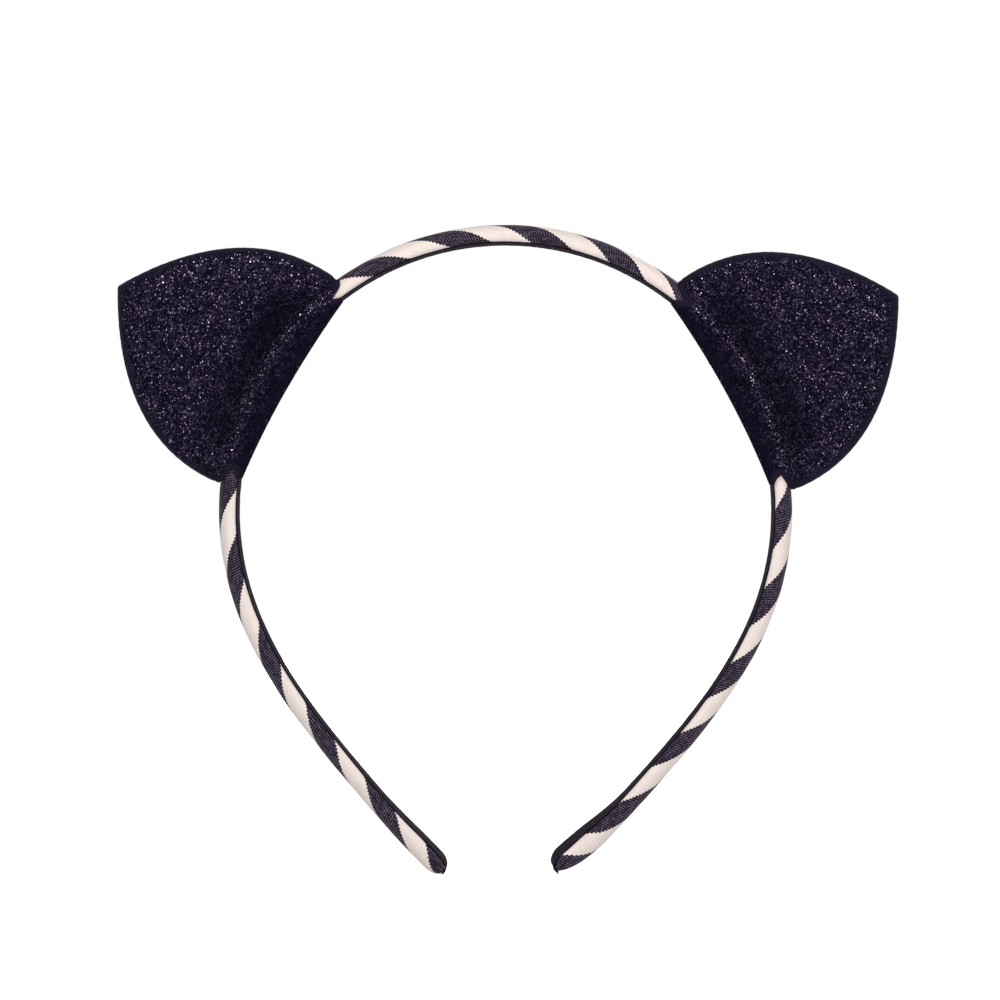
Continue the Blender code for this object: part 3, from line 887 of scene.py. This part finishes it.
def make_ear_seam(word, side, material):
    """The narrow sewn edge round the ear, a little drawn in at every stitch."""
    right = side_curve(SEAM_RADIUS, 700)
    line = np.vstack((right, right[::-1] * (-1.0, 1.0)))
    line = np.stack(settled(side, line[:, 0], line[:, 1]), axis=1)
    reach = np.hypot(line[:, 0], EAR_BASE_RADIUS + line[:, 1])
    line = line[(reach > MID_RADIUS - INNER_FACE + 0.0003) & (line[:, 1] > 0.0)]
    steps = np.concatenate(([0.0], np.cumsum(np.hypot(*np.diff(line, axis=0).T))))
    places = np.linspace(0.0, steps[-1], 420)
    u = np.interp(places, steps, line[:, 0])
    v = np.interp(places, steps, line[:, 1])
    du, dv = np.gradient(u), np.gradient(v)
    size = np.hypot(du, dv)
    out_u, out_v = (dv / size)[:, None], (-du / size)[:, None]
    ring = ring_angles(12)
    stitch = 1.0 - 0.07 * np.abs(np.sin(math.pi * places / SEAM_STITCH))**3
    uneven = stitch + 0.03 * ripples(places / MM, places * 0.0, 5.0, SEED + 5)
    taper = 0.35 + 0.65 * ramp(np.minimum(places, steps[-1] - places), 0.0, SEAM_TAPER)
    radius = (SEAM_RADIUS * uneven * taper)[:, None]
    outward = np.cos(ring) * radius
    depth = np.sin(ring) * radius * 1.12
    points = in_frame(side, u[:, None] + out_u * outward, v[:, None] + out_v * outward, depth)
    along, around = np.broadcast_arrays(places[:, None] / MM, ring)
    values = {"along": along, "across": around}
    piece = new_piece(word + "_ear_seam", points, tube_faces(*depth.shape), material, values)
    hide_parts(word + "_ear_edge_seam")
    bend_with_ear(piece)


def make_ear_foam(word, side, material):
    """The flat foam that stiffens the ear, with its cut edges a little rounded."""
    tip = side_curve(EAR_FOAM_INSET)[-1, 1]
    v = np.linspace(EAR_FOAM_START, tip, 40)[:, None]
    ring = ring_angles(48)
    wide = np.sign(np.cos(ring)) * np.abs(np.cos(ring))**0.35
    deep = np.sign(np.sin(ring)) * np.abs(np.sin(ring))**0.45
    full = 0.55 + 0.45 * quarter_round(np.minimum(v - EAR_FOAM_START, tip - v) / EAR_FOAM_ROUNDING)
    u = half_width(v, EAR_FOAM_INSET) * wide
    uneven = 1.0 - 0.03 * (1.0 + ripples(u / MM, v / MM, 5.0, SEED + 6))
    depth = EAR_FOAM_HALF_DEPTH * deep * full * uneven
    points = in_frame(side, *settled(side, u, v), depth)
    piece = new_piece(word + "_ear_foam", points, tube_faces(*depth.shape), material)
    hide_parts(word + "_ear_foam_sheet")
    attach(piece, word + "_ear")


# ---------------------------------------------------------------- materials


def colour(red, green, blue):
    """A colour given as it looks on screen, from 0 to 255."""
    made = []
    for value in (red, green, blue):
        value /= 255.0
        made.append(value / 12.92 if value <= 0.04045 else ((value + 0.055) / 1.055)**2.4)
    return (*made, 1.0)


class Surface:
    """A material under construction: its nodes, and short ways to add and join them.

    A colour in a mix is given as it looks on screen, or as another node's output.
    """

    def __init__(self, name, **settings):
        self.material = bpy.data.materials.new(name)
        self.material.use_nodes = True
        self.tree = self.material.node_tree
        self.shader = self.tree.nodes["Principled BSDF"]
        for key, value in settings.items():
            self.shader.inputs[key.replace("_", " ")].default_value = value

    def fill(self, node, values):
        for key, value in values.items():
            socket = node.inputs[key]
            if isinstance(value, bpy.types.NodeSocket):
                self.tree.links.new(value, socket)
            else:
                socket.default_value = value

    def node(self, kind, values=None, **settings):
        made = self.tree.nodes.new("ShaderNode" + kind)
        for key, value in settings.items():
            setattr(made, key, value)
        self.fill(made, values or {})
        return made

    def math(self, operation, *values):
        return self.node("Math", dict(enumerate(values)), operation=operation).outputs[0]

    def off_middle(self, value):
        return self.math("ABSOLUTE", self.math("SUBTRACT", value, 0.5))

    def stored(self, name, output="Fac"):
        return self.node("Attribute", attribute_name=name).outputs[output]

    def flat_place(self, x, y):
        return self.node("CombineXYZ", {0: x, 1: y}).outputs[0]

    def own_place(self):
        return self.node("TexCoord").outputs["Object"]

    def mix(self, share, low, high, **settings):
        made = self.node("Mix", {"Factor": share}, data_type="RGBA", **settings)
        low, high = (colour(*end) if isinstance(end, tuple) else end for end in (low, high))
        self.fill(made, {6: low, 7: high})
        return made.outputs[2]

    def spread(self, value, low, high, to_low, to_high):
        values = {"Value": value, "From Min": low, "From Max": high, "To Min": to_low, "To Max": to_high}
        return self.node("MapRange", values, interpolation_type="SMOOTHSTEP").outputs[0]

    def noise(self, place, scale, detail=2.0, roughness=0.5):
        values = {"Scale": scale, "Detail": detail, "Roughness": roughness}
        if place is not None:
            values["Vector"] = place
        return self.node("TexNoise", values).outputs["Fac"]

    def bump(self, height, distance, strength=1.0, normal=None):
        values = {"Height": height, "Distance": distance, "Strength": strength}
        if normal is not None:
            values["Normal"] = normal
        return self.node("Bump", values).outputs["Normal"]

    def finish(self, **links):
        self.fill(self.shader, {key.replace("_", " "): value for key, value in links.items()})
        return self.material


def ribbon_material():
    """Diagonal stripes of smooth cream satin and dark twill with light flecks between its rows."""
    s = Surface("striped_ribbon", Specular_IOR_Level=0.22, Sheen_Weight=0.05, Sheen_Roughness=0.4)
    along, across, stripe = s.stored("along"), s.stored("across"), s.stored("stripe")
    slanted = s.math("MULTIPLY_ADD", across, -ROW_SLANT, along)
    rows = s.math("DIVIDE", slanted, ROW_PITCH)
    row = s.math("FLOOR", rows)
    in_row = s.math("SUBTRACT", rows, row)
    to_middle = s.math("SUBTRACT", 0.5, in_row)
    stepped = s.math("MULTIPLY_ADD", to_middle, ROW_PITCH / STRIPE_PERIOD, stripe)
    jitter = s.node("TexWhiteNoise", {"W": row}, noise_dimensions="1D").outputs["Value"]
    stepped = s.math("MULTIPLY_ADD", jitter, EDGE_JITTER, stepped)
    place = s.math("FRACT", s.math("ADD", stepped, 0.5))
    cream = s.math("LESS_THAN", s.off_middle(place), CREAM_HALF_SHARE)

    dash = s.math("MULTIPLY_ADD", row, 0.5, s.math("DIVIDE", across, DASH_PITCH))
    cell = s.math("FLOOR", dash)
    dash_middle = s.off_middle(s.math("SUBTRACT", dash, cell))
    joint = s.off_middle(in_row)
    spot = s.flat_place(row, cell)
    random = s.node("TexWhiteNoise", {"Vector": spot}, noise_dimensions="3D").outputs["Value"]
    fleck = s.math("MULTIPLY", s.spread(dash_middle, 0.10, 0.30, 1.0, 0.0),
                   s.spread(joint, 0.22, 0.42, 0.0, 1.0))
    fleck = s.math("MULTIPLY", fleck, s.spread(random, 0.1, 1.0, 0.15, 1.0))

    rest = s.flat_place(along, across)
    cloudy = s.noise(rest, 0.35, 3.0)
    fine = s.noise(rest, 5.0, 2.0)
    dark = s.mix(fleck, (23, 14, 31), (178, 156, 187))
    light = s.mix(cloudy, (235, 219, 210), (246, 233, 227))
    light = s.mix(s.spread(joint, 0.38, 0.5, 0.0, 0.10), light, (205, 186, 176))
    base = s.mix(cream, dark, light)
    rounded = s.math("SUBTRACT", 1.0, s.math("POWER", s.math("MULTIPLY", joint, 2.0), 2.0))
    relief = s.math("MULTIPLY", rounded, s.spread(cream, 0.0, 1.0, 1.0, 0.22))
    relief = s.math("MULTIPLY_ADD", fine, 0.15, relief)
    normal = s.bump(relief, 0.00007)
    rough = s.spread(cream, 0.0, 1.0, 0.62, 0.44)
    return s.finish(Base_Color=base, Roughness=rough, Normal=normal)


def lining_material():
    """A matt black tape with a short nap."""
    s = Surface("lining_tape", Specular_IOR_Level=0.10, Sheen_Weight=0.08, Sheen_Roughness=0.5)
    s.shader.inputs["Sheen Tint"].default_value = colour(150, 135, 150)
    along, across = s.stored("along"), s.stored("across")
    cloudy = s.noise(s.flat_place(along, across), 0.5, 3.0)
    nap = s.noise(s.flat_place(s.math("MULTIPLY", along, 0.35), across), 7.0, 3.0, 0.7)
    base = s.mix(s.math("MULTIPLY_ADD", nap, 0.6, s.math("MULTIPLY", cloudy, 0.4)),
                 (15, 9, 18), (33, 25, 40))
    return s.finish(Base_Color=base, Roughness=s.spread(nap, 0.3, 0.7, 0.85, 0.97),
                    Normal=s.bump(nap, 0.00012))


def glitter_fabric_material():
    """Near-black fabric under fine glitter; painted shade dims the glitter by the edges and in the crease,
    and a painted reflection lightens the fabric by its outline.
    """
    s = Surface("glitter_fabric", Specular_IOR_Level=0.0)
    cloth = s.stored("cloth", "Vector")
    edge = s.stored("edge")
    grain = s.node("TexVoronoi", {"Vector": cloth, "Scale": 3.0}, feature="F1")
    tint = s.node("SeparateColor", {"Color": grain.outputs["Color"]})
    glow = s.math("POWER", tint.outputs[0], 5.0)
    # Painted shade: the glitter dims towards the outline and the fold, where the fabric turns from the
    # light.
    glint_unshaded = s.spread(edge, 0.8, 2.6, 0.12, 1.0)
    patchy = s.noise(cloth, 0.45, 4.0, 0.6)
    # Painted shade: the fabric's glitter is dimmed in the crease and by the fold.
    glint_unshaded = s.math("MULTIPLY", glint_unshaded, s.spread(s.stored("crease_shade"), 0.0, 1.0, 1.0, 0.25))
    glow = s.math("MULTIPLY", s.math("MULTIPLY", glow, glint_unshaded), s.spread(patchy, 0.3, 0.7, 0.45, 1.25))
    ground = s.mix(patchy, (12, 10, 22), (22, 19, 37))
    # Painted reflection: the fabric's ground is lighter by its outline, where it would catch a grazing
    # sheen.
    ground = s.mix(s.spread(s.stored("rim"), 0.3, 2.4, 0.9, 0.0), ground, (36, 32, 47))
    lit = s.mix(tint.outputs[1], (76, 68, 94), (96, 84, 108))
    base = s.mix(glow, ground, lit)
    facets = s.bump(tint.outputs[2], 0.00006, 0.8)
    weave = s.noise(cloth, 2.2, 2.0)
    normal = s.bump(weave, 0.00008, 0.6, facets)
    rough = s.spread(tint.outputs[1], 0.0, 1.0, 0.42, 0.75)
    return s.finish(Base_Color=base, Roughness=rough, Normal=normal)


def glitter_flake_material():
    """Metallic flakes: most look dark, some grey-lilac, and a few shine."""
    s = Surface("glitter_flakes", Metallic=1.0)
    shine, tone = s.stored("shine"), s.stored("tone")
    level = s.node("ValToRGB", {"Fac": shine})
    ramp_stops = ((0.0, (6, 5, 12)), (0.55, (18, 14, 30)), (0.82, (42, 35, 58)),
                  (0.90, (112, 100, 126)), (0.95, (206, 194, 214)), (1.0, (255, 252, 255)))
    stops = level.color_ramp.elements
    while len(stops) < len(ramp_stops):
        stops.new(0.5)
    for stop, (place, screen) in zip(stops, ramp_stops):
        stop.position = place
        stop.color = colour(*screen)
    warm = s.mix(tone, (255, 232, 240), (232, 236, 255))
    tinted = s.mix(1.0, level.outputs["Color"], warm, blend_type="MULTIPLY")
    rough = s.spread(tone, 0.0, 1.0, 0.22, 0.42)
    return s.finish(Base_Color=tinted, Roughness=rough)


def seam_material():
    """The dark fabric edge, closely overstitched."""
    s = Surface("seam_thread", Specular_IOR_Level=0.1)
    turns = s.math("MULTIPLY_ADD", s.stored("across"), 0.12, s.math("MULTIPLY", s.stored("along"), 2.6))
    thread = s.off_middle(s.math("FRACT", turns))
    fine = s.noise(None, 900.0)
    base = s.mix(s.math("MULTIPLY_ADD", thread, 1.2, s.math("MULTIPLY", fine, 0.4)),
                 (26, 22, 34), (50, 44, 60))
    return s.finish(Base_Color=base, Roughness=s.spread(fine, 0.3, 0.7, 0.6, 0.85),
                    Normal=s.bump(thread, 0.0001))


def foam_material(name, low, high):
    """Open-cell foam."""
    s = Surface(name, Specular_IOR_Level=0.15)
    place = s.own_place()
    cells = s.node("TexVoronoi", {"Vector": place, "Scale": 1900.0}, feature="F1").outputs["Distance"]
    base = s.mix(cells, low, high)
    return s.finish(Base_Color=base, Roughness=s.spread(cells, 0.0, 1.0, 0.85, 1.0),
                    Normal=s.bump(cells, 0.0002))


def moulded_material(name, low, high, rough_low, rough_high, scale):
    """Plastic or set glue: cloudy colour and a slightly uneven skin."""
    s = Surface(name)
    place = s.own_place()
    cloudy = s.noise(place, scale, 4.0)
    fine = s.noise(place, scale * 9.0, 2.0)
    base = s.mix(cloudy, low, high)
    return s.finish(Base_Color=base, Roughness=s.spread(fine, 0.3, 0.7, rough_low, rough_high),
                    Normal=s.bump(fine, 0.00005))


def floor_material():
    """A pale floor that looks white from everywhere, so that the object stands alone."""
    s = Surface("floor", Specular_IOR_Level=0.1)
    place = s.own_place()
    base = s.mix(s.noise(place, 6.0), (226, 226, 228), (232, 232, 233))
    s.shader.inputs["Emission Color"].default_value = (1.0, 1.0, 1.0, 1.0)
    seen = s.node("LightPath").outputs["Is Camera Ray"]
    s.fill(s.shader, {"Emission Strength": s.math("MULTIPLY", seen, 0.8)})
    return s.finish(Base_Color=base, Roughness=s.spread(s.noise(place, 30.0), 0.3, 0.7, 0.8, 0.9))


# ---------------------------------------------------------------- stage, light and camera


def add_floor():
    """The floor under the object's lowest point."""
    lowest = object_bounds()[0].z
    size = FLOOR_HALF_SIZE
    corners = [(-size, -size, lowest), (size, -size, lowest), (size, size, lowest), (-size, size, lowest)]
    floor = new_piece("floor", corners, [(0, 1, 2, 3)], floor_material())
    floor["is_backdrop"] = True


def add_world():
    """White to the camera, and a weaker white as light."""
    world = bpy.data.worlds.new("studio")
    world.use_nodes = True
    bpy.context.scene.world = world
    tree = world.node_tree
    light = tree.nodes["Background"]
    light.inputs["Color"].default_value = (0.97, 0.98, 1.0, 1.0)
    light.inputs["Strength"].default_value = WORLD_STRENGTH
    seen = tree.nodes.new("ShaderNodeBackground")
    seen.inputs["Color"].default_value = (1.0, 1.0, 1.0, 1.0)
    path = tree.nodes.new("ShaderNodeLightPath")
    pick = tree.nodes.new("ShaderNodeMixShader")
    tree.links.new(path.outputs["Is Camera Ray"], pick.inputs[0])
    tree.links.new(light.outputs[0], pick.inputs[1])
    tree.links.new(seen.outputs[0], pick.inputs[2])
    tree.links.new(pick.outputs[0], tree.nodes["World Output"].inputs["Surface"])


def add_area_light(name, place, size, power, in_gloss, target):
    """A round soft light that faces the target and isn't seen itself."""
    light = bpy.data.lights.new(name, "AREA")
    light.shape = "DISK"
    light.size = size
    light.energy = power
    lamp = add_object(name, light)
    lamp.location = place
    aim = target - lamp.location
    lamp.rotation_euler = aim.to_track_quat("-Z", "Y").to_euler()
    lamp.visible_camera = False
    lamp.visible_glossy = in_gloss


def add_camera():
    """The photograph's view: straight from the front, a little above the middle of the band."""
    data = bpy.data.cameras.new("camera")
    data.sensor_width = 36.0
    data.lens = CAMERA_LENS
    camera = add_object("camera", data)
    camera.location = CAMERA_PLACE
    camera.rotation_euler = (math.pi / 2, CAMERA_ROLL, 0.0)
    bpy.context.scene.camera = camera


# ---------------------------------------------------------------- everything


def finish_carried_nodes():
    """Better materials for the CAD nodes that stay: the core and the glue."""
    plastic = moulded_material("spring_plastic", (34, 34, 38), (50, 50, 55), 0.35, 0.55, 220.0)
    glue = moulded_material("hot_melt_glue", (206, 196, 170), (228, 222, 204), 0.3, 0.5, 500.0)
    carried = {"band_core": plastic, "left_ear_fixing_glue": glue, "right_ear_fixing_glue": glue}
    for node, material in carried.items():
        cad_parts[node].data.materials[0] = material


def make_band():
    """The band's foam, ribbon, lining and adhesive."""
    make_band_foam(foam_material("band_foam", (196, 190, 176), (232, 228, 216)))
    make_ribbon(ribbon_material())
    make_lining(lining_material())
    make_adhesive(moulded_material("clear_adhesive", (198, 190, 164), (224, 218, 196), 0.25, 0.45, 400.0))


def make_ears():
    """Both ears, each from one grid of points that its fabric and its glitter share."""
    black_foam = foam_material("ear_foam", (28, 28, 32), (66, 66, 72))
    fabric, flakes, seam = glitter_fabric_material(), glitter_flake_material(), seam_material()
    for word, side, seed in (("left", -1, SEED + 30), ("right", 1, SEED + 60)):
        grid = ear_fabric_grid(side, seed)
        make_ear_foam(word, side, black_foam)
        make_ear_seam(word, side, seam)
        points = make_ear_fabric(word, side, grid, fabric)
        make_ear_glitter(word, side, grid, points, flakes, seed)


def set_stage():
    """Floor, world, lights and camera."""
    add_floor()
    add_world()
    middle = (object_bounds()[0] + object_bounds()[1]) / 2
    for light in LIGHTS:
        add_area_light(*light, middle)
    add_camera()
    bpy.context.scene.view_settings.view_transform = "Standard"


def main():
    finish_carried_nodes()
    make_band()
    make_ears()
    set_stage()


main()
